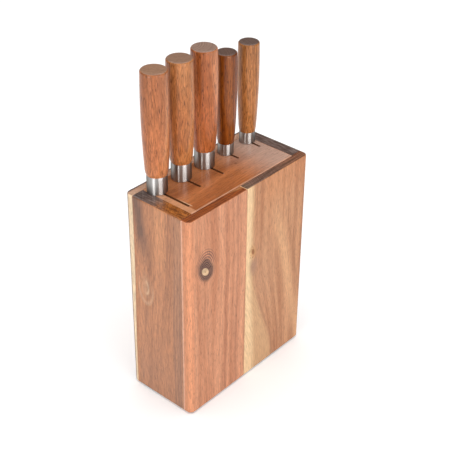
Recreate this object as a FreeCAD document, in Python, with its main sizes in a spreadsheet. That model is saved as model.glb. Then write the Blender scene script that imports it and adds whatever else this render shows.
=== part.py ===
import FreeCAD, Part
import math
import os

import Sketcher
from FreeCAD import Vector

# A hollow wooden knife block that stands on its narrow base, with five round-handled knives.
# Frame: origin at the centre of the footprint on the surface it stands on, +Z up, X along the
# broad faces, front face towards -Y. Every knife hangs from its ferrule on the slotted top plate.

# Driving dimensions in millimetres, which become the cells of the spreadsheet.
BLOCK = {
    "block_length": 178,
    "block_depth": 84,
    "block_height": 235,
    "panel_thickness": 10.2,
    "end_thickness": 14.6,
    "corner_radius": 6,
    "rim_radius": 1.6,
    "front_joint": 83,
    "back_joint": 96,
    "plate_thickness": 15,
    "base_thickness": 12,
    "plate_edge_break": 0.4,
    "slot_width": 2.6,
    "slot_end_radius": 1.2,
    "slot_edge_break": 0.3,
    "slot_back": 72,
    "first_knife": 23.2,
    "knife_pitch": 33.3,
    "foot_radius": 7,
    "foot_thickness": 2.5,
    "foot_recess": 1,
    "foot_edge_radius": 0.5,
    "foot_inset_x": 26,
    "foot_inset_y": 22,
}

KNIFE = {
    "blade_thickness": 2,
    "edge_thickness": 0.4,
    "point_thickness": 0.8,
    "spine_land": 2,
    "slot_play": 0.7,
    "neck_length": 5,
    "ferrule_wall": 0.9,
    "ferrule_floor": 1.5,
    "ferrule_edge_radius": 0.3,
    "butt_edge_radius": 2.2,
    "serration_radius": 4.5,
    "serration_depth": 1.1,
    "serration_pitch": 6.6,
}

# The two sizes of handle. A handle's side is one shallow arc from shoulder to butt.
GRIPS = {
    "large": {
        "axis_from_front": 62.8,
        "ferrule_radius": 10.2,
        "ferrule_height": 19,
        "shoulder_radius": 11.6,
        "shoulder_height": 25.5,
        "shoulder_bow": 18,
        "butt_radius": 12.95,
        "side_bow": 1080,
        "grip_height": 127,
        "neck_width": 15,
        "tang_width": 9,
        "tang_length": 88,
    },
    "small": {
        "axis_from_front": 64.2,
        "ferrule_radius": 8.2,
        "ferrule_height": 12.8,
        "shoulder_radius": 9.2,
        "shoulder_height": 21.5,
        "shoulder_bow": 45,
        "butt_radius": 10.65,
        "side_bow": 1000,
        "grip_height": 111,
        "neck_width": 12,
        "tang_width": 7,
        "tang_length": 72,
    },
}

# The knives from left to right. Spine and edge run straight down from the ferrule for the
# lengths given here, and then curve to the point, which lies point_drop in front of the spine.
KNIVES = {
    "chef_knife": {
        "grip": "large",
        "slot_front": 20.7,
        "blade_length": 208,
        "blade_width": 49.2,
        "point_drop": 15,
        "straight_spine": 128,
        "straight_edge": 112,
    },
    "carving_knife": {
        "grip": "large",
        "slot_front": 37.2,
        "blade_length": 206,
        "blade_width": 32,
        "point_drop": 8,
        "straight_spine": 150,
        "straight_edge": 138,
    },
    "bread_knife": {
        "grip": "large",
        "slot_front": 37.4,
        "blade_length": 208,
        "blade_width": 32,
        "point_drop": 17,
        "straight_spine": 168,
        "straight_edge": 189,
    },
    "utility_knife": {
        "grip": "small",
        "slot_front": 46.3,
        "blade_length": 132,
        "blade_width": 23.5,
        "point_drop": 8,
        "straight_spine": 88,
        "straight_edge": 84,
    },
    "paring_knife": {
        "grip": "small",
        "slot_front": 46.3,
        "blade_length": 96,
        "blade_width": 21,
        "point_drop": 8,
        "straight_spine": 60,
        "straight_edge": 56,
    },
}

MARGIN = 2.0  # how far a cutting outline reaches past the solid that it cuts
TOUCH = 1e-4  # how near two coordinates are when they count as the same


class Size(float):
    """A number of millimetres that also holds the spreadsheet expression it comes from."""

    def __new__(cls, value, text):
        number = float.__new__(cls, value)
        number.text = text
        return number

    def __add__(self, other):
        return Size(float(self) + float(other), f"({self.text} + {text_of(other)})")

    def __sub__(self, other):
        return Size(float(self) - float(other), f"({self.text} - {text_of(other)})")

    def __mul__(self, other):
        return Size(float(self) * float(other), f"({self.text} * {text_of(other)})")

    def __truediv__(self, other):
        return Size(float(self) / float(other), f"({self.text} / {text_of(other)})")

    def __neg__(self):
        return Size(-float(self), f"(0 - {self.text})")


def text_of(value):
    return getattr(value, "text", f"{float(value):g}")


doc = FreeCAD.newDocument("knife_block")
sheet = doc.addObject("Spreadsheet::Sheet", "sizes")


def fill_sheet():
    """Write every driving dimension to a cell of its own and return them all as sizes."""
    groups = [("", BLOCK), ("", KNIFE)]
    groups += [(f"{name}_", sizes) for name, sizes in GRIPS.items()]
    groups += [(f"{name}_", sizes) for name, sizes in KNIVES.items()]
    found = {}
    row = 1
    for prefix, sizes in groups:
        for name, value in sizes.items():
            if name == "grip":
                continue
            alias = prefix + name
            sheet.set(f"A{row}", alias)
            sheet.set(f"B{row}", f"{value:g}")
            sheet.setAlias(f"B{row}", alias)
            found[alias] = Size(value, f"sizes.{alias}")
            row += 1
    doc.recompute()
    return found


size = fill_sheet()
zero = Size(0, "0")

half_length = size["block_length"] / 2
half_depth = size["block_depth"] / 2
inner_length = half_length - size["end_thickness"]
inner_depth = half_depth - size["panel_thickness"]
stand_height = size["foot_thickness"] - size["foot_recess"]
top_height = stand_height + size["block_height"]
front_joint_x = size["front_joint"] - half_length
back_joint_x = size["back_joint"] - half_length


def bind(thing, **sizes):
    """Give properties of a feature their numbers, bound to the spreadsheet."""
    for name, value in sizes.items():
        setattr(thing, name, float(value))
        if hasattr(value, "text"):
            thing.setExpression(name, value.text)


def new_body(name, x=zero, y=zero, z=zero):
    body = doc.addObject("PartDesign::Body", name)
    body.Label = name
    body.Placement.Base = Vector(x, y, z)
    body.setExpression("Placement.Base.x", x.text)
    body.setExpression("Placement.Base.y", y.text)
    body.setExpression("Placement.Base.z", z.text)
    return body


def new_sketch(body, name, plane="XY_Plane", height=zero):
    """A sketch on one of the body's own planes, moved along the plane's normal by height."""
    sketch = body.newObject("Sketcher::SketchObject", f"{body.Name}_{name}")
    planes = [item for item in body.Origin.OriginFeatures if item.Role == plane]
    sketch.AttachmentSupport = [(planes[0], "")]
    sketch.MapMode = "FlatFace"
    sketch.setExpression("AttachmentOffset.Base.z", height.text)
    return sketch


def lock_point(sketch, side, end, across, up):
    """Fix one end of a side at the two sizes given."""
    for kind, value in (("DistanceX", across), ("DistanceY", up)):
        index = sketch.addConstraint(Sketcher.Constraint(kind, side, end, float(value)))
        if hasattr(value, "text"):
            sketch.setExpression(f"Constraints[{index}]", value.text)


def side_between(start, end):
    """A straight side, or an arc if the start corner has a bow: its radius and which way it swells."""
    a = Vector(start[0], start[1], 0)
    b = Vector(end[0], end[1], 0)
    if len(start) == 2:
        return Part.LineSegment(a, b)
    radius, turn = start[2], start[3]
    chord = b - a
    half = chord.Length / 2
    swell = float(radius) - math.sqrt(float(radius) ** 2 - half**2)
    out = Vector(chord.y, -chord.x, 0).normalize() * (swell * turn)
    return Part.Arc(a, (a + b) * 0.5 + out, b)


def draw_outline(sketch, corners):
    """Draw a closed outline through the corners and fix each of them at its size."""
    first = sketch.GeometryCount
    count = len(corners)
    ends = []
    for index, corner in enumerate(corners):
        following = corners[(index + 1) % count]
        side = side_between(corner, following)
        start_vector = Vector(corner[0], corner[1], 0)
        number = sketch.addGeometry(side, False)
        drawn = sketch.Geometry[number]
        begins_first = drawn.StartPoint.distanceToPoint(start_vector) < TOUCH
        ends.append((1, 2) if begins_first else (2, 1))
    for index, corner in enumerate(corners):
        side = first + index
        before = first + (index - 1) % count
        arrival = ends[(index - 1) % count][1]
        sketch.addConstraint(Sketcher.Constraint("Coincident", before, arrival, side, ends[index][0]))
        lock_point(sketch, side, ends[index][0], corner[0], corner[1])
        if len(corner) == 4:
            bow = sketch.addConstraint(Sketcher.Constraint("Radius", side, float(corner[2])))
            if hasattr(corner[2], "text"):
                sketch.setExpression(f"Constraints[{bow}]", corner[2].text)


def draw_rectangle(sketch, low, high):
    corners = [(low[0], low[1]), (high[0], low[1]), (high[0], high[1]), (low[0], high[1])]
    draw_outline(sketch, corners)


def draw_circle(sketch, x, y, radius):
    circle = sketch.addGeometry(Part.Circle(Vector(x, y, 0), Vector(0, 0, 1), float(radius)), False)
    lock_point(sketch, circle, 3, x, y)
    bow = sketch.addConstraint(Sketcher.Constraint("Radius", circle, float(radius)))
    sketch.setExpression(f"Constraints[{bow}]", text_of(radius))


def add_pad(body, sketch, length, both_sides=False):
    pad = body.newObject("PartDesign::Pad", f"{sketch.Name}_pad")
    pad.Profile = sketch
    pad.SideType = "Symmetric" if both_sides else "One side"
    bind(pad, Length=length)
    doc.recompute()
    return pad


def add_turned(body, sketch):
    """Turn an outline once round the body's upright axis."""
    turned = body.newObject("PartDesign::Revolution", f"{sketch.Name}_turned")
    turned.Profile = sketch
    turned.ReferenceAxis = (sketch, ["V_Axis"])
    turned.Angle = 360
    doc.recompute()
    return turned


def add_pocket(body, sketch, depth=None, upwards=False, both_sides=False):
    """Cut an outline out of the body, right through unless a depth is given, and prove that it cut."""
    before = body.Shape.Volume
    pocket = body.newObject("PartDesign::Pocket", f"{sketch.Name}_pocket")
    pocket.Profile = sketch
    pocket.SideType = "Symmetric" if both_sides else "One side"
    pocket.Reversed = upwards
    if depth is None:
        pocket.Type = "ThroughAll"
    else:
        bind(pocket, Length=depth)
    doc.recompute()
    if not body.Shape.Volume < before - TOUCH:
        raise RuntimeError(f"{pocket.Name} cuts nothing")
    return pocket


def edges_where(shape, chosen):
    names = [f"Edge{number + 1}" for number, edge in enumerate(shape.Edges) if chosen(edge)]
    if not names:
        raise RuntimeError("no edge to work on")
    return names


def add_edge_work(body, kind, chosen, amount):
    """Round (Fillet) or bevel (Chamfer) the chosen edges of the body's last feature."""
    last = body.Tip
    work = body.newObject(f"PartDesign::{kind}", f"{last.Name}_{kind.lower()}")
    work.Base = (last, edges_where(last.Shape, chosen))
    if kind == "Fillet":
        bind(work, Radius=amount)
    else:
        bind(work, Size=amount)
    doc.recompute()
    return work


def near(value, target):
    return abs(value - float(target)) < TOUCH


def is_upright(edge):
    box = edge.BoundBox
    return box.XLength < TOUCH and box.YLength < TOUCH


def is_level(edge, height):
    return edge.BoundBox.ZLength < TOUCH and near(edge.BoundBox.ZMin, height)


def make_stave(name, x_low, x_high, side):
    """One of two boards glued edge to edge to make a broad panel: side is -1 in front, 1 behind."""
    body = new_body(name, z=stand_height)
    outer_y = half_depth * side
    inner_y = inner_depth * side
    y_low, y_high = (outer_y, inner_y) if side < 0 else (inner_y, outer_y)
    outline = new_sketch(body, "outline")
    draw_rectangle(outline, (x_low, y_low), (x_high, y_high))
    add_pad(body, outline, size["block_height"])
    end_x = float(x_low) if near(x_low, -half_length) else float(x_high)

    def is_corner(edge):
        box = edge.BoundBox
        return is_upright(edge) and near(box.XMin, end_x) and near(box.YMin, outer_y)

    def is_rim(edge):
        box = edge.BoundBox
        level = is_level(edge, 0) or is_level(edge, size["block_height"])
        on_face = near(box.YMin, outer_y) or near(box.YMax, outer_y)
        on_end = near(box.XMin, end_x) or near(box.XMax, end_x)
        return level and (on_face or on_end)

    add_edge_work(body, "Fillet", is_corner, size["corner_radius"])
    add_edge_work(body, "Fillet", is_rim, size["rim_radius"])


def make_end_panel(name, side):
    """The upright board between the broad panels at one end: side is -1 on the left, 1 on the right."""
    body = new_body(name, z=stand_height)
    outer_x = half_length * side
    inner_x = inner_length * side
    x_low, x_high = (outer_x, inner_x) if side < 0 else (inner_x, outer_x)
    outline = new_sketch(body, "outline")
    draw_rectangle(outline, (x_low, -inner_depth), (x_high, inner_depth))
    add_pad(body, outline, size["block_height"])

    def is_rim(edge):
        level = is_level(edge, 0) or is_level(edge, size["block_height"])
        return level and edge.BoundBox.XLength < TOUCH and near(edge.BoundBox.XMin, outer_x)

    add_edge_work(body, "Fillet", is_rim, size["rim_radius"])


def knife_x(index):
    return size["first_knife"] + size["knife_pitch"] * index - half_length


def make_top_plate():
    """The board that closes the block's top, with one slot across the block's depth per knife."""
    body = new_body("slotted_top_plate", z=top_height - size["plate_thickness"])
    outline = new_sketch(body, "outline")
    draw_rectangle(outline, (-inner_length, -inner_depth), (inner_length, inner_depth))
    add_pad(body, outline, size["plate_thickness"])
    slots = new_sketch(body, "slots", height=size["plate_thickness"])
    half_slot = size["slot_width"] / 2
    back = size["slot_back"] - half_depth
    for index, name in enumerate(KNIVES):
        front = size[f"{name}_slot_front"] - half_depth
        x = knife_x(index)
        draw_rectangle(slots, (x - half_slot, front), (x + half_slot, back))
    add_pocket(body, slots)

    def is_slot_corner(edge):
        return is_upright(edge) and abs(edge.BoundBox.YMin) < float(inner_depth) - TOUCH

    def is_top_rim(edge):
        if not is_level(edge, size["plate_thickness"]):
            return False
        box = edge.BoundBox
        along_end = near(abs(box.XMin), inner_length) and box.XLength < TOUCH
        along_side = near(abs(box.YMin), inner_depth) and box.YLength < TOUCH
        return along_end or along_side

    def is_slot_rim(edge):
        box = edge.BoundBox
        inside = abs(box.XMin) < float(inner_length) - 1 and abs(box.YMin) < float(inner_depth) - 1
        return is_level(edge, size["plate_thickness"]) and inside

    add_edge_work(body, "Fillet", is_slot_corner, size["slot_end_radius"])
    add_edge_work(body, "Chamfer", is_top_rim, size["plate_edge_break"])
    add_edge_work(body, "Chamfer", is_slot_rim, size["slot_edge_break"])


def foot_places():
    for front_back in (-1, 1):
        for left_right in (-1, 1):
            x = (half_length - size["foot_inset_x"]) * left_right
            y = (half_depth - size["foot_inset_y"]) * front_back
            yield left_right, front_back, x, y


def make_base_board():
    """The bottom board, with a shallow round seat for each foot."""
    body = new_body("base_board", z=stand_height)
    outline = new_sketch(body, "outline")
    draw_rectangle(outline, (-inner_length, -inner_depth), (inner_length, inner_depth))
    add_pad(body, outline, size["base_thickness"])
    seats = new_sketch(body, "seats")
    for _, _, x, y in foot_places():
        draw_circle(seats, x, y, size["foot_radius"])
    add_pocket(body, seats, size["foot_recess"], upwards=True)


def make_feet():
    """Four soft round feet glued into the seats of the bottom board."""
    sides = {-1: "left", 1: "right"}
    depths = {-1: "front", 1: "back"}
    for left_right, front_back, x, y in foot_places():
        name = f"foot_{depths[front_back]}_{sides[left_right]}"
        body = new_body(name, x, y)
        outline = new_sketch(body, "outline")
        draw_circle(outline, 0, 0, size["foot_radius"])
        add_pad(body, outline, size["foot_thickness"])
        add_edge_work(body, "Fillet", lambda edge: is_level(edge, 0), size["foot_edge_radius"])


def make_blade(knife, sizes, x, y):
    """Blade, neck and hidden tang in one piece, ground thinner to the edge and to the point.

    Its origin is on the handle's axis at the underside of the ferrule, and the edge faces the front.
    """
    body = new_body(f"{knife}_blade", x, y, top_height)
    thickness = size["blade_thickness"]
    length, width, drop = sizes["blade_length"], sizes["blade_width"], sizes["point_drop"]
    spine = size["slot_back"] - size["slot_play"] - sizes["axis_from_front"]
    edge = spine - width
    point = spine - drop
    spine_run = length - sizes["straight_spine"]
    edge_run = length - sizes["straight_edge"]
    belly = width - drop
    # An arc that leaves a straight line smoothly and moves away by "rise" over "run".
    spine_bow = (spine_run * spine_run + drop * drop) / (drop * 2)
    belly_bow = (edge_run * edge_run + belly * belly) / (belly * 2)
    half_tang = sizes["tang_width"] / 2
    neck = spine - sizes["neck_width"]
    outline = new_sketch(body, "outline", "YZ_Plane")
    corners = [
        (-half_tang, sizes["tang_length"]),
        (-half_tang, zero),
        (neck, zero),
        (neck, -size["neck_length"]),
        (edge, -size["neck_length"]),
        (edge, -sizes["straight_edge"], belly_bow, 1),
        (point, -length, spine_bow, 1),
        (spine, -sizes["straight_spine"]),
        (spine, zero),
        (half_tang, zero),
        (half_tang, sizes["tang_length"]),
    ]
    draw_outline(outline, corners)
    add_pad(body, outline, thickness, both_sides=True)

    grind = new_sketch(body, "grind", height=-size["neck_length"])
    land = spine - size["spine_land"]
    for side in (-1, 1):
        flat = thickness / 2 * side
        thin = size["edge_thickness"] / 2 * side
        beyond = (thickness / 2 + MARGIN) * side
        outside = edge - MARGIN
        draw_outline(grind, [(flat, land), (thin, edge), (thin, outside), (beyond, outside), (beyond, land)])
    add_pocket(body, grind)

    taper = new_sketch(body, "taper", "XZ_Plane")
    heel = -size["neck_length"]
    low = -length - MARGIN
    for side in (-1, 1):
        flat = thickness / 2 * side
        thin = size["point_thickness"] / 2 * side
        beyond = (thickness / 2 + MARGIN) * side
        draw_outline(taper, [(flat, heel), (thin, low), (beyond, low), (beyond, heel)])
    add_pocket(body, taper, both_sides=True)
    return body, edge


def cut_serrations(body, edge, sizes):
    """A row of shallow scallops along the straight stretch of the cutting edge."""
    first = new_sketch(body, "scallop", "YZ_Plane")
    heel_clear = size["neck_length"] + size["serration_pitch"]
    centre = edge - size["serration_radius"] + size["serration_depth"]
    draw_circle(first, centre, -heel_clear, size["serration_radius"])
    scallop = add_pocket(body, first, both_sides=True)
    row_length = sizes["straight_edge"] - heel_clear
    count = int(float(row_length) / float(size["serration_pitch"])) + 1
    row = body.newObject("PartDesign::LinearPattern", f"{body.Name}_scallops")
    row.Originals = [scallop]
    row.Direction = (first, ["V_Axis"])
    row.Reversed = True
    row.Occurrences = count
    bind(row, Length=size["serration_pitch"] * (count - 1))
    body.Tip = row
    doc.recompute()


def make_ferrule(knife, sizes, x, y):
    """A steel cup round the handle's lower end, with a slot in its floor for the tang."""
    body = new_body(f"{knife}_ferrule", x, y, top_height)
    outer = sizes["ferrule_radius"]
    inner = outer - size["ferrule_wall"]
    floor = size["ferrule_floor"]
    height = sizes["ferrule_height"]
    section = new_sketch(body, "section", "XZ_Plane")
    corners = [(0, 0), (outer, 0), (outer, height), (inner, height), (inner, floor), (0, floor)]
    draw_outline(section, corners)
    add_turned(body, section)
    add_edge_work(body, "Fillet", lambda item: is_level(item, 0), size["ferrule_edge_radius"])
    slot = new_sketch(body, "slot")
    half_blade = size["blade_thickness"] / 2
    half_tang = sizes["tang_width"] / 2
    draw_rectangle(slot, (-half_blade, -half_tang), (half_blade, half_tang))
    add_pocket(body, slot, upwards=True)


def make_handle(knife, sizes, x, y):
    """A turned wooden grip: spigot inside the ferrule, rounded shoulder, swelling side, flat butt."""
    body = new_body(f"{knife}_handle", x, y, top_height)
    spigot = sizes["ferrule_radius"] - size["ferrule_wall"]
    floor = size["ferrule_floor"]
    rim = sizes["ferrule_height"]
    top = sizes["grip_height"]
    section = new_sketch(body, "section", "XZ_Plane")
    corners = [
        (0, floor),
        (spigot, floor),
        (spigot, rim),
        (sizes["ferrule_radius"], rim, sizes["shoulder_bow"], 1),
        (sizes["shoulder_radius"], sizes["shoulder_height"], sizes["side_bow"], 1),
        (sizes["butt_radius"], top),
        (0, top),
    ]
    draw_outline(section, corners)
    add_turned(body, section)
    add_edge_work(body, "Fillet", lambda item: is_level(item, top), size["butt_edge_radius"])
    bore = new_sketch(body, "tang_bore", height=floor)
    half_blade = size["blade_thickness"] / 2
    half_tang = sizes["tang_width"] / 2
    draw_rectangle(bore, (-half_blade, -half_tang), (half_blade, half_tang))
    add_pocket(body, bore, sizes["tang_length"] - floor, upwards=True)


def make_knife(index, knife):
    grip = KNIVES[knife]["grip"]
    sizes = {name: size[f"{grip}_{name}"] for name in GRIPS[grip]}
    sizes.update({name: size[f"{knife}_{name}"] for name in KNIVES[knife] if name != "grip"})
    x = knife_x(index)
    y = sizes["axis_from_front"] - half_depth
    blade, edge = make_blade(knife, sizes, x, y)
    if knife == "bread_knife":
        cut_serrations(blade, edge, sizes)
    make_ferrule(knife, sizes, x, y)
    make_handle(knife, sizes, x, y)


def write_parts():
    """Check every object of the document, and then write each body to a file named after it."""
    doc.recompute()
    for item in doc.Objects:
        if "Invalid" in item.State or "Error" in item.State:
            raise RuntimeError(f"{item.Name} failed: {item.State}")
    bodies = [item for item in doc.Objects if item.TypeId == "PartDesign::Body"]
    for body in bodies:
        if body.Shape.isNull() or not body.Shape.isValid() or len(body.Shape.Solids) != 1:
            raise RuntimeError(f"{body.Label} is not one valid solid")
    os.makedirs("parts", exist_ok=True)
    for body in bodies:
        body.Shape.exportStep(f"parts/{body.Label}.step")
        box = body.Shape.BoundBox
        print(f"{body.Label}: {box.XLength:.1f} x {box.YLength:.1f} x {box.ZLength:.1f} mm, "
              f"{body.Shape.Volume / 1000:.2f} cm3")


make_stave("front_panel_left_stave", -half_length, front_joint_x, -1)
make_stave("front_panel_right_stave", front_joint_x, half_length, -1)
make_stave("back_panel_left_stave", -half_length, back_joint_x, 1)
make_stave("back_panel_right_stave", back_joint_x, half_length, 1)
make_end_panel("left_end_panel", -1)
make_end_panel("right_end_panel", 1)
make_top_plate()
make_base_board()
make_feet()
for knife_index, knife_name in enumerate(KNIVES):
    make_knife(knife_index, knife_name)
write_parts()
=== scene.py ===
import math

import bpy
from mathutils import Matrix, Vector


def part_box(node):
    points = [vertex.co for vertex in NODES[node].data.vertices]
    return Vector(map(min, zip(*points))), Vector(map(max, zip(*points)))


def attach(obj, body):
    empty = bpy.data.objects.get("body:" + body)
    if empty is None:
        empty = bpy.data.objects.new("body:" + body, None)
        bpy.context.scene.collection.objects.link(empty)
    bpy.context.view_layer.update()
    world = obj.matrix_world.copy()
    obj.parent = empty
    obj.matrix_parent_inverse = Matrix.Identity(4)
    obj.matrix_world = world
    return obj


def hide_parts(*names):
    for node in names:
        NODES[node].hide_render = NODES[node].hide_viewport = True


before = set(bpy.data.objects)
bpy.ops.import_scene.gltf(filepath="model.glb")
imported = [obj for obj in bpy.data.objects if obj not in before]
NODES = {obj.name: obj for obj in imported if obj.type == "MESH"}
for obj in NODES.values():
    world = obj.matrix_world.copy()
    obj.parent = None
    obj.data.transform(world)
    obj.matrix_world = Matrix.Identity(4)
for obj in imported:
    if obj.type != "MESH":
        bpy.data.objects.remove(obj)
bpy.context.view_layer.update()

MM = 1000.0  # shader coordinates are in millimetres, the scene is in metres

# The knives from left to right: the colours of each handle's wood and of the end grain of its butt.
KNIVES = {
    "chef_knife": {
        "light": (0.60, 0.235, 0.096),
        "dark": (0.42, 0.135, 0.046),
        "streak": (0.32, 0.095, 0.034),
        "butt": (0.375, 0.216, 0.136),
    },
    "carving_knife": {
        "light": (0.60, 0.235, 0.078),
        "dark": (0.41, 0.130, 0.034),
        "streak": (0.29, 0.080, 0.020),
        "butt": (0.320, 0.192, 0.131),
    },
    "bread_knife": {
        "light": (0.66, 0.245, 0.100),
        "dark": (0.41, 0.112, 0.028),
        "streak": (0.25, 0.052, 0.012),
        "butt": (0.345, 0.231, 0.180),
    },
    "utility_knife": {
        "light": (0.33, 0.092, 0.010),
        "dark": (0.20, 0.042, 0.002),
        "streak": (0.13, 0.030, 0.002),
        "butt": (0.140, 0.092, 0.074),
    },
    "paring_knife": {
        "light": (0.47, 0.178, 0.050),
        "dark": (0.28, 0.082, 0.015),
        "streak": (0.19, 0.056, 0.012),
        "butt": (0.135, 0.096, 0.084),
    },
}

# ---------------------------------------------------------------- camera

# Lengths are in metres, angles in degrees, and the lens and sensor in millimetres.
CAMERA_AIM = Vector((0.0125, 0.0017, 0.1662))
CAMERA_DISTANCE = 1.100
CAMERA_AZIMUTH = -48.67
CAMERA_ELEVATION = 33.25
CAMERA_ROLL = 0.54
CAMERA_LENS = 84.99
SENSOR_WIDTH = 36.0
CAMERA_NEAR, CAMERA_FAR = 0.05, 20.0


def towards(azimuth, elevation):
    """The direction from the object to a place seen at an azimuth and elevation, in degrees."""
    turn, rise = math.radians(azimuth), math.radians(elevation)
    level = math.cos(rise)
    return Vector((math.sin(turn) * level, -math.cos(turn) * level, math.sin(rise)))


def face_back(thing, direction, roll=0.0):
    """Turn a camera or light so that it looks back along a direction."""
    thing.rotation_mode = "QUATERNION"
    about_view = Matrix.Rotation(math.radians(roll), 3, "Z").to_quaternion()
    thing.rotation_quaternion = (-direction).to_track_quat("-Z", "Y") @ about_view


def make_camera():
    data = bpy.data.cameras.new("camera")
    data.lens = CAMERA_LENS
    data.sensor_width = SENSOR_WIDTH
    data.clip_start, data.clip_end = CAMERA_NEAR, CAMERA_FAR
    camera = bpy.data.objects.new("camera", data)
    back = towards(CAMERA_AZIMUTH, CAMERA_ELEVATION)
    camera.location = CAMERA_AIM + back * CAMERA_DISTANCE
    face_back(camera, back, CAMERA_ROLL)
    bpy.context.scene.collection.objects.link(camera)
    bpy.context.scene.camera = camera


# ---------------------------------------------------------------- shader building

class Graph:
    """A material's node tree, built by short calls that each return an output socket."""

    def __init__(self, name):
        self.material = bpy.data.materials.new(name)
        self.material.use_nodes = True
        self.tree = self.material.node_tree
        self.tree.nodes.clear()

    def feed(self, socket, value):
        if isinstance(value, bpy.types.NodeSocket):
            self.tree.links.new(value, socket)
        elif socket.type == "RGBA" and len(value) == 3:
            socket.default_value = (*value, 1.0)
        else:
            socket.default_value = value

    def add(self, kind, inputs, output=0, **settings):
        node = self.tree.nodes.new("ShaderNode" + kind)
        for name, value in settings.items():
            setattr(node, name, value)
        for key, value in inputs.items():
            self.feed(node.inputs[key], value)
        return node.outputs[output]

    def math(self, operation, a, b=0.0):
        return self.add("Math", {0: a, 1: b}, operation=operation)

    def plus(self, a, b):
        return self.math("ADD", a, b)

    def minus(self, a, b):
        return self.math("SUBTRACT", a, b)

    def times(self, a, b):
        return self.math("MULTIPLY", a, b)

    def over(self, a, b):
        return self.math("DIVIDE", a, b)

    def most(self, a, b):
        return self.math("MAXIMUM", a, b)

    def least(self, a, b):
        return self.math("MINIMUM", a, b)

    def size_of(self, a):
        return self.math("ABSOLUTE", a)

    def hypot(self, a, b):
        return self.math("SQRT", self.plus(self.times(a, a), self.times(b, b)))

    def smooth(self, value, low, high):
        """0 at low, 1 at high, with an S between them."""
        inputs = {0: value, 1: low, 2: high, 3: 0.0, 4: 1.0}
        return self.add("MapRange", inputs, interpolation_type="SMOOTHSTEP")

    def peak(self, value, centre, width):
        """1 where value is centre, falling to 0 at width from it on both sides."""
        return self.smooth(self.size_of(self.minus(value, centre)), width, 0.0)

    def vector(self, x, y, z):
        return self.add("CombineXYZ", {0: x, 1: y, 2: z})

    def parts(self, vector):
        node = self.tree.nodes.new("ShaderNodeSeparateXYZ")
        self.feed(node.inputs[0], vector)
        return node.outputs[0], node.outputs[1], node.outputs[2]

    def noise(self, vector, detail=2.0, roughness=0.5, scale=1.0):
        inputs = {"Vector": vector, "Scale": scale, "Detail": detail, "Roughness": roughness}
        return self.add("TexNoise", inputs)

    def noise_line(self, value, detail=2.0, roughness=0.5):
        """Noise along one number, for bands of uneven width."""
        inputs = {"W": value, "Scale": 1.0, "Detail": detail, "Roughness": roughness}
        return self.add("TexNoise", inputs, noise_dimensions="1D")

    def mix(self, factor, a, b, blend="MIX"):
        return self.add("Mix", {0: factor, 6: a, 7: b}, output=2, data_type="RGBA", blend_type=blend)

    def tint(self, color, tint, mask, share):
        """Lay a tint over a colour where the mask is 1, by no more than the given share."""
        return self.mix(self.times(mask, share), color, tint)

    def scale_color(self, color, factor):
        return self.mix(1.0, color, self.vector(factor, factor, factor), "MULTIPLY")

    def place(self):
        """The point on the object in millimetres, as x, y and z."""
        point = self.add("TexCoord", {}, output=3)
        return self.parts(self.add("VectorMath", {0: point, 3: MM}, operation="SCALE"))

    def facing(self):
        """How squarely the surface faces along each axis of the object: 0 to 1."""
        return [self.size_of(part) for part in self.parts(self.add("TexCoord", {}, output=1))]

    def finish(self, color, roughness, height, height_mm, **uniform):
        """Principled shader with a bump of the given height. Uniform values are set on its sockets."""
        shader = self.tree.nodes.new("ShaderNodeBsdfPrincipled")
        self.feed(shader.inputs["Base Color"], color)
        self.feed(shader.inputs["Roughness"], roughness)
        for name, value in uniform.items():
            shader.inputs[name.replace("_", " ")].default_value = value
        if height is not None:
            inputs = {"Strength": 1.0, "Distance": height_mm / MM, "Height": height}
            self.tree.links.new(self.add("Bump", inputs), shader.inputs["Normal"])
        output = self.tree.nodes.new("ShaderNodeOutputMaterial")
        self.tree.links.new(shader.outputs[0], output.inputs[0])
        self.shader = shader
        return self.material


# ---------------------------------------------------------------- wood

# What every board has in common. A shade is the brightness beside the wood around it.
FIBRE_CONTRAST = 0.62
FIBRE_BUMP_MM = 0.06
PORE_SHARE, PORE_SHADE = 0.45, 0.45
WORN_EDGE_SHARE, WORN_EDGE_SHADE = 0.22, 1.5
END_GRAIN_SHADE = 0.45
WOOD_SPECULAR = 0.20


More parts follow.
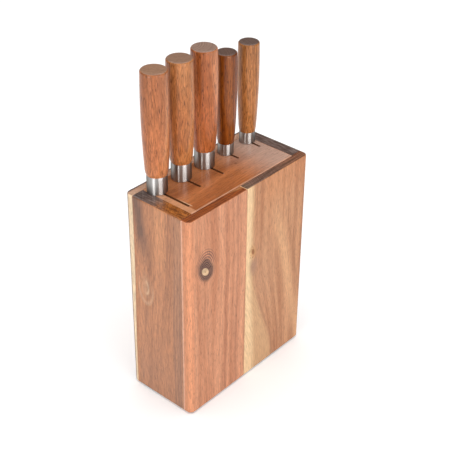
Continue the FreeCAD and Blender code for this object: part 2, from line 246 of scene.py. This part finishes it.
class Board:
    """One board's figure. The grain runs along "along"; across and depth are square to it.

    The stance is "upright" for a board whose width runs along X, "upright_end" for one whose width
    runs along Y, and "level" for one that lies flat with its grain along X. All the lines of the
    figure follow "ring", the distance to the pith, which leans and wanders a little along the board.
    The pith and all other places are in the block's own millimetres; masks and shares are 0 to 1.
    """

    def __init__(self, name, stance, seed, pith, lean=0.03):
        self.graph = Graph(name)
        self.seed = seed
        self.pith = pith
        self.lean = lean
        x, y, z = self.graph.place()
        order = {"level": (y, z, x), "upright_end": (y, x, z), "upright": (x, y, z)}
        self.across, self.depth, self.along = order[stance]
        self.grain_axis = 0 if stance == "level" else 2
        self.flow = self.across

    def wander(self, amount, length):
        """Let the grain lines wander sideways slowly along the board."""
        g = self.graph
        place = g.vector(
            g.times(self.across, 1 / 60.0),
            g.plus(g.times(self.depth, 1 / 90.0), self.seed),
            g.times(self.along, 1 / length),
        )
        shift = g.times(g.minus(g.noise(place, detail=1.0), 0.5), 2.0 * amount)
        self.flow = g.plus(self.flow, shift)

    def knot_distance(self, across, along, rise, fall, tilt=0.0, slope=0.0):
        """Distance from a knot's centre, drawn out upwards and downwards along the grain.

        A knot cut obliquely leans along the grain by "tilt" and across it by "slope".
        """
        g = self.graph
        side = g.minus(self.across, across)
        up = g.plus(g.minus(self.along, along), g.times(side, slope))
        side = g.minus(side, g.times(up, tilt))
        above = g.over(g.most(up, 0.0), rise)
        below = g.over(g.least(up, 0.0), fall)
        return g.hypot(side, g.plus(above, below))

    def part_round(self, across, distance, radius):
        """Make the grain lines flow round a knot of that radius."""
        g = self.graph
        side = g.minus(self.flow, across)
        share = g.over(radius * radius, g.most(g.times(distance, distance), radius * radius))
        self.flow = g.minus(self.flow, g.times(side, share))

    def settle(self):
        """Fix the ring distance, once the flow of the grain is as it should be."""
        g = self.graph
        drift = g.times(g.minus(self.along, self.pith[2]), self.lean)
        depth = g.minus(g.minus(self.depth, self.pith[1]), drift)
        self.ring = g.hypot(g.minus(self.flow, self.pith[0]), depth)

    def stretched(self, width, length, detail=2.0, roughness=0.55, shift=0.0):
        """Noise drawn out along the grain, in lines about as wide and long as given."""
        g = self.graph
        place = g.vector(
            g.over(self.ring, width),
            self.seed + shift,
            g.plus(g.over(self.along, length), shift * 3.0),
        )
        return g.noise(place, detail=detail, roughness=roughness)

    def threads(self, width, length, detail=2.0, roughness=0.6, shift=0.0):
        """Short threads on every face of the board, finer than its rings."""
        g = self.graph
        place = g.vector(
            g.over(self.flow, width),
            g.plus(g.over(self.depth, width), self.seed + shift),
            g.over(self.along, length),
        )
        return g.noise(place, detail=detail, roughness=roughness)

    def figure(self, light, dark, streak, zones=1.0, bands=1.0, lines=1.0):
        """Broad zones, bands and fine dark lines, mixed from the board's own three colours."""
        g = self.graph
        zone = self.stretched(width=26.0, length=420.0, detail=1.0, shift=1.0)
        zone = g.times(g.minus(zone, 0.5), 1.5 * zones)
        band = self.stretched(width=7.0, length=230.0, shift=2.0)
        band = g.times(g.minus(band, 0.5), 1.7 * bands)
        tone = g.plus(g.plus(zone, band), 0.5)
        color = g.mix(g.smooth(tone, 0.0, 1.0), dark, light)
        patchy = g.smooth(self.stretched(width=15.0, length=120.0, detail=1.0, shift=3.0), 0.36, 0.62)
        line = self.stretched(width=2.1, length=150.0, detail=2.5, roughness=0.6, shift=4.0)
        line = g.smooth(line, 0.50, 0.70)
        return g.tint(color, streak, g.times(line, patchy), share=0.75 * lines)

    def surface(self, color, roughness, end_grain, fibre=1.0, pores=1.0, end_share=0.9, **uniform):
        """Add fibres, pores, worn edges and the darker end grain, and finish the material.

        The strength of the pores is a number, or a mask where it changes over the board.
        """
        g = self.graph
        thread = self.threads(width=1.1, length=11.0, detail=3.0, roughness=0.65)
        contrast = FIBRE_CONTRAST * fibre
        lift = g.plus(1.0 - contrast, g.times(thread, 2.0 * contrast))
        color = g.scale_color(color, lift)
        pore = g.smooth(self.threads(width=1.0, length=6.0, detail=1.0, shift=5.0), 0.57, 0.70)
        pore_color = g.scale_color(color, PORE_SHADE)
        color = g.tint(color, pore_color, g.times(pore, PORE_SHARE), share=pores)
        # A normal between two axes marks an edge, and one along the grain marks end grain.
        facing = g.facing()
        edge = g.smooth(g.most(g.most(facing[0], facing[1]), facing[2]), 0.99, 0.80)
        color = g.tint(color, g.scale_color(color, WORN_EDGE_SHADE), edge, share=WORN_EDGE_SHARE)
        endwise = g.smooth(facing[self.grain_axis], 0.60, 0.93)
        rings = g.smooth(g.noise_line(g.over(self.ring, 1.3), roughness=0.6), 0.30, 0.70)
        mottle_place = g.vector(g.times(self.flow, 0.5), g.times(self.depth, 0.5), self.seed)
        mottle = g.noise(mottle_place, roughness=0.6)
        shade = g.plus(g.plus(END_GRAIN_SHADE, g.times(rings, 0.45)), g.times(mottle, 0.65))
        color = g.tint(color, g.scale_color(end_grain, shade), endwise, share=end_share)
        rough = g.plus(roughness, g.times(g.minus(thread, 0.5), 0.20))
        height = g.minus(g.times(thread, 0.6), g.times(pore, 0.9))
        return g.finish(color, rough, height, FIBRE_BUMP_MM, Specular_IOR_Level=WOOD_SPECULAR, **uniform)


def front_left_wood():
    """Salmon-brown heartwood with upright streaks and one pale-hearted knot ringed in grey-brown."""
    board = Board("front_left_wood", stance="upright", seed=1.7, pith=(260.0, 40.0, 100.0))
    g = board.graph
    knot_x, knot_z = -66.6, 171.5
    board.wander(amount=2.5, length=130.0)
    knot = board.knot_distance(knot_x + 1.0, knot_z, rise=1.30, fall=1.08, tilt=0.08, slope=0.45)
    ragged_place = g.vector(g.times(board.across, 0.16), 4.0, g.times(board.along, 0.12))
    ragged = g.times(g.minus(g.noise(ragged_place), 0.5), 4.0)
    knot = g.plus(knot, g.times(ragged, g.smooth(knot, 2.0, 8.0)))
    board.part_round(knot_x, knot, 8.0)
    board.settle()
    color = board.figure(
        light=(0.68, 0.315, 0.176), dark=(0.50, 0.200, 0.102), streak=(0.36, 0.142, 0.076),
        lines=0.6,
    )
    # Streaks beside the joint that run the full height: place, width, share and colour.
    streaks = (
        (-37.0, 3.2, 0.42, (0.38, 0.150, 0.085)),
        (-31.0, 3.0, 0.28, (0.74, 0.340, 0.190)),
        (-26.5, 2.6, 0.36, (0.40, 0.160, 0.090)),
        (-20.0, 3.6, 0.46, (0.36, 0.145, 0.085)),
        (-12.5, 5.0, 0.55, (0.74, 0.350, 0.200)),
        (-6.6, 1.1, 0.50, (0.38, 0.190, 0.100)),
    )
    for place, width, share, tint in streaks:
        color = g.tint(color, tint, g.peak(board.flow, place, width), share)
    # Below the knot the grain closes up again in a darker wedge.
    wedge = g.times(g.smooth(board.along, 168.0, 130.0), g.smooth(board.along, 60.0, 110.0))
    wedge = g.times(wedge, g.peak(g.minus(board.across, g.times(board.along, 0.05)), -73.0, 9.0))
    color = g.tint(color, (0.46, 0.205, 0.115), wedge, share=0.30)
    # The rounded left edge cuts across the rings and is painted a more saturated orange, partly the wood's
    # own colour and partly painted light where it faces the light from the left, with a pale line at the
    # joint.
    edge = g.smooth(board.across, -80.0, -84.0)
    color = g.tint(color, (0.66, 0.255, 0.125), edge, share=0.50)
    joint = g.smooth(board.depth, -34.2, -32.8)
    side_face = g.smooth(board.across, -88.2, -88.9)
    color = g.tint(color, (0.78, 0.46, 0.33), g.times(joint, side_face), share=0.75)
    # Knot: rings that fade outwards, a dark shell, and the cream heart with its brown pith.
    outer = board.knot_distance(knot_x + 1.0, knot_z, rise=1.75, fall=1.0, tilt=0.14, slope=0.45)
    outer = g.plus(outer, g.times(ragged, 0.35))
    rings = g.smooth(g.math("SINE", g.times(outer, 3.5)), -0.6, 0.6)
    halo = g.times(g.smooth(outer, 17.5, 11.5), rings)
    halo = g.times(halo, g.plus(0.22, g.times(g.smooth(board.along, 172.0, 184.0), 0.78)))
    color = g.tint(color, (0.20, 0.095, 0.072), halo, share=0.90)
    shell_rings = g.plus(0.78, g.times(g.math("SINE", g.times(knot, 3.6)), 0.22))
    heart = board.knot_distance(knot_x, knot_z - 0.4, rise=0.92, fall=0.92, slope=0.45)
    shell = g.times(g.smooth(knot, 12.8, 8.0), g.smooth(heart, 4.3, 5.2))
    color = g.mix(g.times(shell, shell_rings), color, (0.070, 0.040, 0.036))
    pith = g.times(g.smooth(heart, 2.0, 0.3), g.noise(g.vector(board.across, 0.0, board.along), detail=1.0))
    heart_color = g.mix(pith, (0.68, 0.46, 0.27), (0.26, 0.14, 0.05))
    color = g.mix(g.smooth(heart, 5.1, 4.3), color, heart_color)
    # On top the year rings run along the board, with a pale wedge that widens towards the joint.
    top_lines = g.noise(g.vector(g.times(board.across, 0.03), g.times(board.depth, 0.8), 2.0), roughness=0.6)
    top = g.mix(g.smooth(top_lines, 0.36, 0.62), (0.11, 0.019, 0.001), (0.35, 0.078, 0.008))
    wedge_width = g.plus(0.2, g.times(g.smooth(board.across, -34.0, -4.0), 4.6))
    inner = g.plus(g.plus(board.depth, 31.8), wedge_width)
    top = g.tint(top, (0.49, 0.215, 0.075), g.smooth(inner, -0.8, 0.8), share=0.80)
    return board.surface(color, roughness=0.50, end_grain=top, fibre=0.8)


def front_right_wood():
    """Cream sapwood beside the joint, widening downwards, then streaked brown heartwood."""
    board = Board("front_right_wood", stance="upright", seed=4.2, pith=(-170.0, 70.0, 100.0), lean=0.04)
    g = board.graph
    board.wander(amount=3.0, length=110.0)
    widening = g.times(g.smooth(board.along, 138.0, 0.0), 34.0)
    border = g.plus(6.5, widening)
    # The heartwood's lines lean with the border and straighten towards the far edge.
    board.flow = g.minus(board.flow, g.times(widening, g.smooth(board.across, 95.0, -6.0)))
    knot = board.knot_distance(2.8, 159.0, rise=1.3, fall=1.3)
    board.part_round(2.8, knot, 3.5)
    board.settle()
    color = board.figure(
        light=(0.62, 0.310, 0.160), dark=(0.43, 0.185, 0.090), streak=(0.33, 0.135, 0.068),
        zones=0.9, bands=1.3, lines=0.9,
    )
    # Grey-brown heartwood at mid height, warmer at the top, and a pale flame near the far edge.
    grey = g.times(g.peak(board.along, 120.0, 75.0), g.smooth(board.across, 58.0, 20.0))
    color = g.tint(color, (0.53, 0.285, 0.165), grey, share=0.40)
    warm = g.times(g.smooth(board.along, 185.0, 232.0), g.smooth(board.across, 12.0, 26.0))
    color = g.tint(color, (0.56, 0.215, 0.085), warm, share=0.45)
    slant = g.plus(board.across, g.times(board.along, 0.24))
    flame = g.times(g.peak(slant, 87.0, 13.0), g.smooth(board.along, 215.0, 150.0))
    color = g.tint(color, (0.76, 0.43, 0.225), flame, share=0.55)
    rib = g.times(g.peak(slant, 101.0, 4.0), g.smooth(board.along, 215.0, 150.0))
    color = g.tint(color, (0.40, 0.185, 0.090), rib, share=0.45)
    # Sapwood: brightest at the joint, tan towards the border.
    ragged = g.times(g.minus(board.stretched(width=3.0, length=40.0, shift=7.0), 0.5), 5.0)
    inside = g.minus(g.plus(board.across, ragged), border)
    sap = g.smooth(inside, 4.0, -7.0)
    cream_edge = g.plus(3.5, g.times(widening, 0.18))
    cream = g.smooth(g.minus(board.across, cream_edge), 4.0, -6.0)
    sap_color = g.mix(cream, (0.60, 0.345, 0.180), (0.84, 0.575, 0.325))
    fine = g.smooth(board.stretched(width=2.6, length=120.0, shift=8.0), 0.42, 0.68)
    sap_color = g.tint(sap_color, (0.60, 0.36, 0.19), fine, share=0.28)
    color = g.mix(sap, color, sap_color)
    line = g.times(g.peak(inside, 0.5, 2.2), g.smooth(board.along, 120.0, 80.0))
    color = g.tint(color, (0.36, 0.165, 0.090), line, share=0.50)
    # A grey smudge under the small knot, the specks round it, and the knot itself.
    smudge = g.smooth(board.knot_distance(5.5, 141.0, rise=1.0, fall=1.7), 11.0, 1.0)
    color = g.tint(color, (0.38, 0.205, 0.130), smudge, share=0.80)
    specks_place = g.vector(g.times(board.across, 0.6), 0.0, g.times(board.along, 0.45))
    specks = g.smooth(g.noise(specks_place), 0.52, 0.66)
    specks = g.times(specks, g.smooth(board.knot_distance(2.5, 157.0, rise=2.2, fall=2.2), 6.0, 2.0))
    color = g.tint(color, (0.26, 0.105, 0.040), specks, share=0.8)
    small_knot = board.knot_distance(4.5, 158.0, rise=1.6, fall=1.4, slope=0.3)
    color = g.tint(color, (0.58, 0.290, 0.110), g.smooth(small_knot, 7.0, 2.0), share=0.55)
    color = g.tint(color, (0.25, 0.085, 0.030), g.smooth(small_knot, 3.0, 1.2), share=0.85)
    top_lines = g.noise(g.vector(g.times(board.across, 0.04), g.times(board.depth, 0.7), 6.0), roughness=0.6)
    top = g.mix(g.smooth(board.across, 25.0, 80.0), (0.135, 0.078, 0.060), (0.20, 0.084, 0.046))
    top = g.scale_color(top, g.plus(0.45, g.smooth(top_lines, 0.35, 0.65)))
    # The sapwood is closer-pored than the heartwood.
    pores = g.minus(1.0, g.times(sap, 0.70))
    return board.surface(color, roughness=0.50, end_grain=top, fibre=0.9, pores=pores)


def end_panel_wood():
    """Dark heartwood: an orange streak and a dark blotch high up, and one faint pale loop."""
    board = Board("end_panel_wood", stance="upright_end", seed=8.6, pith=(90.0, -160.0, 135.0), lean=0.10)
    g = board.graph
    # The far panel is cut from lower down the same log, past the blotch and the loop.
    far = g.smooth(board.depth, -1.0, 1.0)
    board.along = g.minus(board.along, g.times(far, 330.0))
    board.wander(amount=4.0, length=90.0)
    board.settle()
    color = board.figure(
        light=(0.53, 0.215, 0.091), dark=(0.36, 0.135, 0.054), streak=(0.25, 0.092, 0.040),
        zones=0.9, bands=1.1, lines=0.9,
    )
    orange = g.times(g.peak(board.across, -2.0, 14.0), g.smooth(board.along, 140.0, 215.0))
    color = g.tint(color, (0.66, 0.285, 0.120), orange, share=0.65)
    blotch_place = g.minus(board.across, g.times(g.minus(board.along, 200.0), 0.15))
    blotch = g.times(g.peak(blotch_place, 22.0, 13.0), g.smooth(board.along, 150.0, 205.0))
    color = g.tint(color, (0.15, 0.066, 0.038), blotch, share=0.90)
    # Duller towards the front edge and towards the foot.
    side = g.smooth(board.across, -15.0, -28.0)
    color = g.tint(color, (0.36, 0.185, 0.110), side, share=0.38)
    color = g.tint(color, (0.38, 0.180, 0.100), g.smooth(board.along, 80.0, 10.0), share=0.34)
    # The pale loop: an outer ring that is open at the top, a pale eye, and an arc inside it.
    loop_y, loop_z = 17.5, 134.0
    loop = board.knot_distance(loop_y, loop_z, rise=2.6, fall=1.9)
    ring = g.times(g.peak(loop, 9.5, 2.6), g.smooth(board.along, 150.0, 125.0))
    color = g.tint(color, (0.68, 0.42, 0.24), ring, share=0.40)
    eye = g.smooth(loop, 9.5, 2.0)
    color = g.tint(color, (0.62, 0.36, 0.20), eye, share=0.38)
    arc = g.times(g.peak(loop, 3.2, 1.5), g.smooth(board.across, 20.0, 15.0))
    color = g.tint(color, (0.76, 0.50, 0.30), arc, share=0.55)
    # Thin dark streaks near the front edge: place, width and share.
    for place, width, share in ((-21.5, 1.8, 0.50), (-25.5, 1.2, 0.45), (-29.0, 1.4, 0.50)):
        streak = g.times(g.peak(board.flow, place, width), g.smooth(board.along, 225.0, 150.0))
        color = g.tint(color, (0.21, 0.100, 0.062), streak, share)
    # The sawn top is dark and glossy: streaked brown near the front, grey towards the back.
    streaks_place = g.vector(g.times(board.across, 0.09), g.times(board.depth, 0.45), 3.0)
    streaks = g.smooth(g.noise(streaks_place, roughness=0.6), 0.38, 0.64)
    brown = g.mix(streaks, (0.140, 0.036, 0.004), (0.52, 0.172, 0.028))
    grey = g.mix(streaks, (0.075, 0.052, 0.046), (0.20, 0.150, 0.135))
    greyness = g.most(g.smooth(board.across, -6.0, 14.0), far)
    top = g.mix(greyness, brown, grey)
    return board.surface(color, roughness=0.46, end_grain=top, Coat_Weight=0.6, Coat_Roughness=0.06)


def back_wood():
    """The back panel's boards: cream sapwood on the left end edge, and brown heartwood."""
    board = Board("back_wood", stance="upright", seed=12.4, pith=(40.0, 190.0, 60.0), lean=0.06)
    g = board.graph
    # The board on the right of the joint comes from another place in the log.
    joint_x = round(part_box("back_panel_right_stave")[0].x * MM, 3)
    second = g.smooth(board.across, joint_x - 0.05, joint_x + 0.05)
    board.flow = g.plus(board.flow, g.times(second, 64.0))
    board.along = g.plus(board.along, g.times(second, 410.0))
    board.wander(amount=5.0, length=140.0)
    board.settle()
    color = board.figure(
        light=(0.64, 0.300, 0.155), dark=(0.45, 0.195, 0.100), streak=(0.36, 0.155, 0.085),
        bands=1.2, lines=0.9,
    )
    color = g.tint(color, (0.62, 0.345, 0.200), second, share=0.45)
    color = g.tint(color, (0.25, 0.120, 0.070), g.peak(board.across, joint_x, 0.7), share=0.5)
    # Sapwood on the end edge, narrower towards the foot, and a dark outline round the outer corner.
    inner_border = g.plus(31.9, g.times(g.smooth(board.along, 190.0, 20.0), 3.2))
    sap = g.times(g.smooth(board.across, -74.0, -85.0), g.smooth(board.depth, 38.9, 37.6))
    sap = g.times(sap, g.smooth(g.minus(board.depth, inner_border), -0.5, 0.5))
    color = g.mix(sap, color, (0.88, 0.665, 0.440))
    outer = g.times(g.smooth(board.across, -70.0, -86.0), g.smooth(board.depth, 36.9, 38.4))
    color = g.tint(color, (0.25, 0.135, 0.085), outer, share=0.85)
    pale_end = g.mix(g.smooth(board.depth, 38.4, 39.8), (0.60, 0.355, 0.240), (0.13, 0.090, 0.080))
    return board.surface(color, roughness=0.50, end_grain=pale_end)


def plate_wood():
    """Orange-brown heartwood with the grain along the block, paler towards the far end, partly paler wood
    and partly a painted sheen.
    """
    board = Board("plate_wood", stance="level", seed=15.1, pith=(-150.0, 120.0, 0.0))
    g = board.graph
    board.wander(amount=4.0, length=90.0)
    board.settle()
    color = board.figure(
        light=(0.62, 0.222, 0.080), dark=(0.39, 0.120, 0.037), streak=(0.27, 0.075, 0.024),
        zones=0.9, bands=1.1, lines=0.9,
    )
    # Greyer and paler towards the far end, partly in the wood and partly a painted sheen, and pale again on
    # the left of the first slot.
    far = g.smooth(board.along, 5.0, 62.0)
    color = g.tint(color, (0.62, 0.425, 0.340), far, share=0.82)
    strip = g.smooth(board.along, -66.4, -67.6)
    color = g.tint(color, (0.78, 0.400, 0.215), strip, share=0.70)
    # The front and right edges are worn pale where they meet the panels.
    near_edge = g.smooth(board.across, -30.2, -31.0)
    far_edge = g.smooth(board.along, 73.0, 73.8)
    color = g.tint(color, (0.78, 0.460, 0.300), g.most(near_edge, far_edge), share=0.65)
    # The far wall of the first slot is painted pale towards its front tip: a painted highlight where light
    # falls on that wall.
    lit_wall_highlight = g.times(g.peak(board.along, -63.9, 0.8), g.smooth(board.across, 0.0, -16.0))
    lit_wall_highlight = g.times(lit_wall_highlight, g.smooth(board.across, -24.0, -22.5))
    color = g.tint(color, (0.90, 0.620, 0.400), lit_wall_highlight, share=0.9)
    # One small dark spot in front of the gap between the bread knife and the utility knife.
    spot = g.smooth(g.hypot(g.minus(board.along, 24.0), board.across), 2.4, 0.6)
    color = g.tint(color, (0.15, 0.055, 0.025), spot, share=0.55)
    end_grain = (0.26, 0.110, 0.045)
    gloss = {"Coat_Weight": 0.6, "Coat_Roughness": 0.10}
    return board.surface(color, roughness=0.34, end_grain=end_grain, fibre=0.7, **gloss)


def base_wood():
    """Plain brown heartwood for the hidden bottom board."""
    board = Board("base_wood", stance="level", seed=19.3, pith=(60.0, -150.0, 0.0), lean=0.06)
    board.wander(amount=4.0, length=140.0)
    board.settle()
    color = board.figure(
        light=(0.60, 0.280, 0.140), dark=(0.44, 0.190, 0.095), streak=(0.34, 0.145, 0.075),
    )
    return board.surface(color, roughness=0.55, end_grain=(0.25, 0.120, 0.070))


def handle_wood(knife, index, colors):
    """One turned grip, cut from its own piece of timber, so that every knife has its own figure."""
    pith = (-30.0 + 11.0 * index, 26.0, 60.0)
    board = Board(f"{knife}_wood", stance="upright", seed=23.0 + 3.7 * index, pith=pith, lean=0.05)
    board.wander(amount=2.0, length=60.0)
    board.settle()
    color = board.figure(colors["light"], colors["dark"], colors["streak"], zones=1.2, bands=1.8)
    g = board.graph
    # Each handle darkens towards its butt.
    shade = g.minus(1.0, g.times(g.smooth(board.along, 285.0, 350.0), 0.20))
    color = g.scale_color(color, g.times(shade, 1.11))
    gloss = {"Coat_Weight": 0.3, "Coat_Roughness": 0.12}
    return board.surface(color, roughness=0.34, end_grain=colors["butt"], fibre=1.6, pores=1.9, **gloss)


# ---------------------------------------------------------------- steel and rubber

def ferrule_steel():
    """Turned stainless steel: fine rings round the axis draw every light out into an upright band."""
    g = Graph("ferrule_steel")
    x, y, z = g.place()
    rings = g.noise(g.vector(g.times(x, 0.04), g.times(y, 0.04), g.times(z, 7.0)), roughness=0.6)
    color = g.mix(rings, (0.42, 0.405, 0.39), (0.54, 0.525, 0.51))
    rough = g.plus(0.30, g.times(rings, 0.08))
    # The tint darkens the steel where it is seen at a grazing angle.
    turned = {"Anisotropic": 0.95, "Anisotropic_Rotation": 0.25, "Specular_Tint": (0.12, 0.10, 0.08, 1.0)}
    material = g.finish(color, rough, rings, height_mm=0.003, Metallic=1.0, **turned)
    tangent = g.add("Tangent", {}, direction_type="RADIAL", axis="Z")
    g.tree.links.new(tangent, g.shader.inputs["Tangent"])
    return material


def blade_steel():
    """Ground blades: satin scratches across the width."""
    g = Graph("blade_steel")
    x, y, z = g.place()
    scratches = g.noise(g.vector(g.times(x, 0.4), g.times(y, 0.35), g.times(z, 7.0)), roughness=0.6)
    smudges = g.noise(g.vector(g.times(x, 0.1), g.times(y, 0.08), g.times(z, 0.03)))
    color = g.mix(scratches, (0.50, 0.50, 0.51), (0.66, 0.66, 0.67))
    rough = g.plus(g.plus(0.20, g.times(scratches, 0.14)), g.times(smudges, 0.10))
    return g.finish(color, rough, scratches, height_mm=0.01, Metallic=1.0)


def foot_rubber():
    """Nearly black rubber with a fine grit."""
    g = Graph("foot_rubber")
    x, y, z = g.place()
    grit = g.noise(g.vector(x, y, z), detail=3.0, roughness=0.6, scale=2.0)
    color = g.mix(grit, (0.030, 0.030, 0.031), (0.055, 0.054, 0.053))
    rough = g.plus(0.65, g.times(grit, 0.2))
    return g.finish(color, rough, grit, height_mm=0.04)


# ---------------------------------------------------------------- turned pieces

TURN_STEPS = 96
SHARP_ANGLE = math.radians(40.0)

# The ferrules' own measures, in metres.
FERRULE_WALL = 0.0009
FERRULE_FOOT_RADIUS = 0.0006
FERRULE_LIP_RADIUS = 0.0004
FERRULE_LIP_DEPTH = 0.002


def lathe(name, axis_point, profile, material):
    """Turn a profile of (radius, height) points, in metres, about an upright axis.

    A point with radius 0 closes the piece. The object's origin lies on the axis.
    """
    vertices, rows, faces = [], [], []
    for radius, height in profile:
        if radius == 0.0:
            rows.append([len(vertices)])
            vertices.append((0.0, 0.0, height))
            continue
        rows.append(list(range(len(vertices), len(vertices) + TURN_STEPS)))
        for step in range(TURN_STEPS):
            angle = 2.0 * math.pi * step / TURN_STEPS
            vertices.append((radius * math.cos(angle), radius * math.sin(angle), height))
    for lower, upper in zip(rows, rows[1:]):
        for step in range(TURN_STEPS):
            following = (step + 1) % TURN_STEPS
            if len(lower) == 1:
                faces.append((lower[0], upper[following], upper[step]))
            elif len(upper) == 1:
                faces.append((lower[step], lower[following], upper[0]))
            else:
                faces.append((lower[step], lower[following], upper[following], upper[step]))
    mesh = bpy.data.meshes.new(name)
    mesh.from_pydata(vertices, [], faces)
    mesh.materials.append(material)
    mesh.shade_smooth()
    mesh.set_sharp_from_angle(angle=SHARP_ANGLE)
    piece = bpy.data.objects.new(name, mesh)
    piece.location = axis_point
    bpy.context.scene.collection.objects.link(piece)
    return piece


def rounded(corner, before, after, radius, steps=5):
    """Points that round a profile's corner with an arc-like curve of about the given radius."""
    corner, before, after = Vector(corner), Vector(before), Vector(after)
    start = corner + (before - corner).normalized() * radius
    end = corner + (after - corner).normalized() * radius
    points = []
    for step in range(steps + 1):
        share = step / steps
        first = start.lerp(corner, share)
        points.append(tuple(first.lerp(corner.lerp(end, share), share)))
    return points


def make_ferrule(knife, material):
    """A drawn steel cup: softly rounded foot, and a lip rolled in towards the wood at the top."""
    node = f"{knife}_ferrule"
    low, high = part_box(node)
    radius = (high.x - low.x) / 2
    height = high.z - low.z
    foot, top = (radius, 0.0), (radius, height)
    inside = radius - FERRULE_WALL
    lip = (inside, height)
    profile = [(0.0, 0.0)]
    profile += rounded(foot, (0.0, 0.0), top, FERRULE_FOOT_RADIUS)
    profile += rounded(top, foot, lip, FERRULE_LIP_RADIUS)
    profile += [lip, (inside, height - FERRULE_LIP_DEPTH)]
    axis_point = ((low.x + high.x) / 2, (low.y + high.y) / 2, low.z)
    piece = lathe(f"{knife}_turned_ferrule", axis_point, profile, material)
    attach(piece, knife)
    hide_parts(node)


# ---------------------------------------------------------------- putting it together

def paint(node, material):
    mesh = NODES[node].data
    mesh.materials.clear()
    mesh.materials.append(material)


def paint_everything():
    """Give every CAD piece its material, and every knife its turned ferrule."""
    paint("front_panel_left_stave", front_left_wood())
    paint("front_panel_right_stave", front_right_wood())
    back = back_wood()
    paint("back_panel_left_stave", back)
    paint("back_panel_right_stave", back)
    end = end_panel_wood()
    paint("left_end_panel", end)
    paint("right_end_panel", end)
    paint("slotted_top_plate", plate_wood())
    paint("base_board", base_wood())
    rubber = foot_rubber()
    for node in NODES:
        if node.startswith("foot_"):
            paint(node, rubber)
    ferrule = ferrule_steel()
    blade = blade_steel()
    for index, (knife, colors) in enumerate(KNIVES.items()):
        paint(f"{knife}_handle", handle_wood(knife, index, colors))
        paint(f"{knife}_blade", blade)
        make_ferrule(knife, ferrule)


# ---------------------------------------------------------------- floor and light

WHITE = (1.0, 1.0, 1.0, 1.0)
FLOOR_REACH = 6.0
FLOOR_COLOR = (0.92, 0.92, 0.92)
STUDIO_AIM = Vector((0.0, 0.0, 0.2))
ROOM_STRENGTH = 0.03
BACKDROP_STRENGTH = 1.2
CEILING_ANGLE = math.radians(95.0)
CEILING_STRENGTH = 2.93

# Flat lights that face the block: their direction from it in degrees, their distance and size in
# metres, and their power in watts. The gleams light only glossy reflections.
SOFTBOXES = {
    "softbox_right": {
        "azimuth": -11.5, "elevation": 6.0, "distance": 1.5, "size": (1.14, 0.42), "power": 7.2,
    },
    "softbox_left": {
        "azimuth": -82.0, "elevation": 6.0, "distance": 1.4, "size": (0.56, 0.42), "power": 3.7,
    },
    "gleam_right": {
        "azimuth": -13.5, "elevation": 2.0, "distance": 1.45, "size": (1.00, 0.34), "power": 6.0,
    },
    "gleam_left": {
        "azimuth": -81.0, "elevation": 2.0, "distance": 1.35, "size": (0.50, 0.34), "power": 3.4,
    },
}


def make_floor():
    """A wide sheet of matt paper that glows a little, so that it comes out nearly white."""
    mesh = bpy.data.meshes.new("floor")
    reach = FLOOR_REACH
    corners = [(-reach, -reach, 0), (reach, -reach, 0), (reach, reach, 0), (-reach, reach, 0)]
    mesh.from_pydata(corners, [], [(0, 1, 2, 3)])
    floor = bpy.data.objects.new("floor", mesh)
    bpy.context.scene.collection.objects.link(floor)
    g = Graph("floor_paper")
    glow = {"Specular_IOR_Level": 0.1, "Emission_Color": WHITE, "Emission_Strength": 0.20}
    mesh.materials.append(g.finish(FLOOR_COLOR, 0.8, None, height_mm=0.0, **glow))


def add_softbox(name, azimuth, elevation, distance, size, power):
    data = bpy.data.lights.new(name, "AREA")
    data.shape = "RECTANGLE"
    data.size, data.size_y = size
    data.energy = power
    light = bpy.data.objects.new(name, data)
    back = towards(azimuth, elevation)
    light.location = STUDIO_AIM + back * distance
    face_back(light, back)
    light.visible_diffuse = not name.startswith("gleam")
    bpy.context.scene.collection.objects.link(light)


def add_background(tree, strength):
    background = tree.nodes.new("ShaderNodeBackground")
    background.inputs["Color"].default_value = WHITE
    background.inputs["Strength"].default_value = strength
    return background.outputs[0]


def light_studio():
    """A white backdrop for the camera, a dim room for all else, softboxes and a wide bright ceiling."""
    scene = bpy.context.scene
    scene.view_settings.view_transform = "Standard"
    scene.world = bpy.data.worlds.new("studio")
    scene.world.use_nodes = True
    tree = scene.world.node_tree
    tree.nodes.clear()
    path = tree.nodes.new("ShaderNodeLightPath")
    choice = tree.nodes.new("ShaderNodeMixShader")
    output = tree.nodes.new("ShaderNodeOutputWorld")
    tree.links.new(path.outputs["Is Camera Ray"], choice.inputs[0])
    tree.links.new(add_background(tree, ROOM_STRENGTH), choice.inputs[1])
    tree.links.new(add_background(tree, BACKDROP_STRENGTH), choice.inputs[2])
    tree.links.new(choice.outputs[0], output.inputs[0])
    for name, settings in SOFTBOXES.items():
        add_softbox(name, **settings)
    ceiling = bpy.data.lights.new("ceiling", "SUN")
    ceiling.angle = CEILING_ANGLE
    ceiling.energy = CEILING_STRENGTH
    bpy.context.scene.collection.objects.link(bpy.data.objects.new("ceiling", ceiling))


make_camera()
light_studio()
make_floor()
paint_everything()
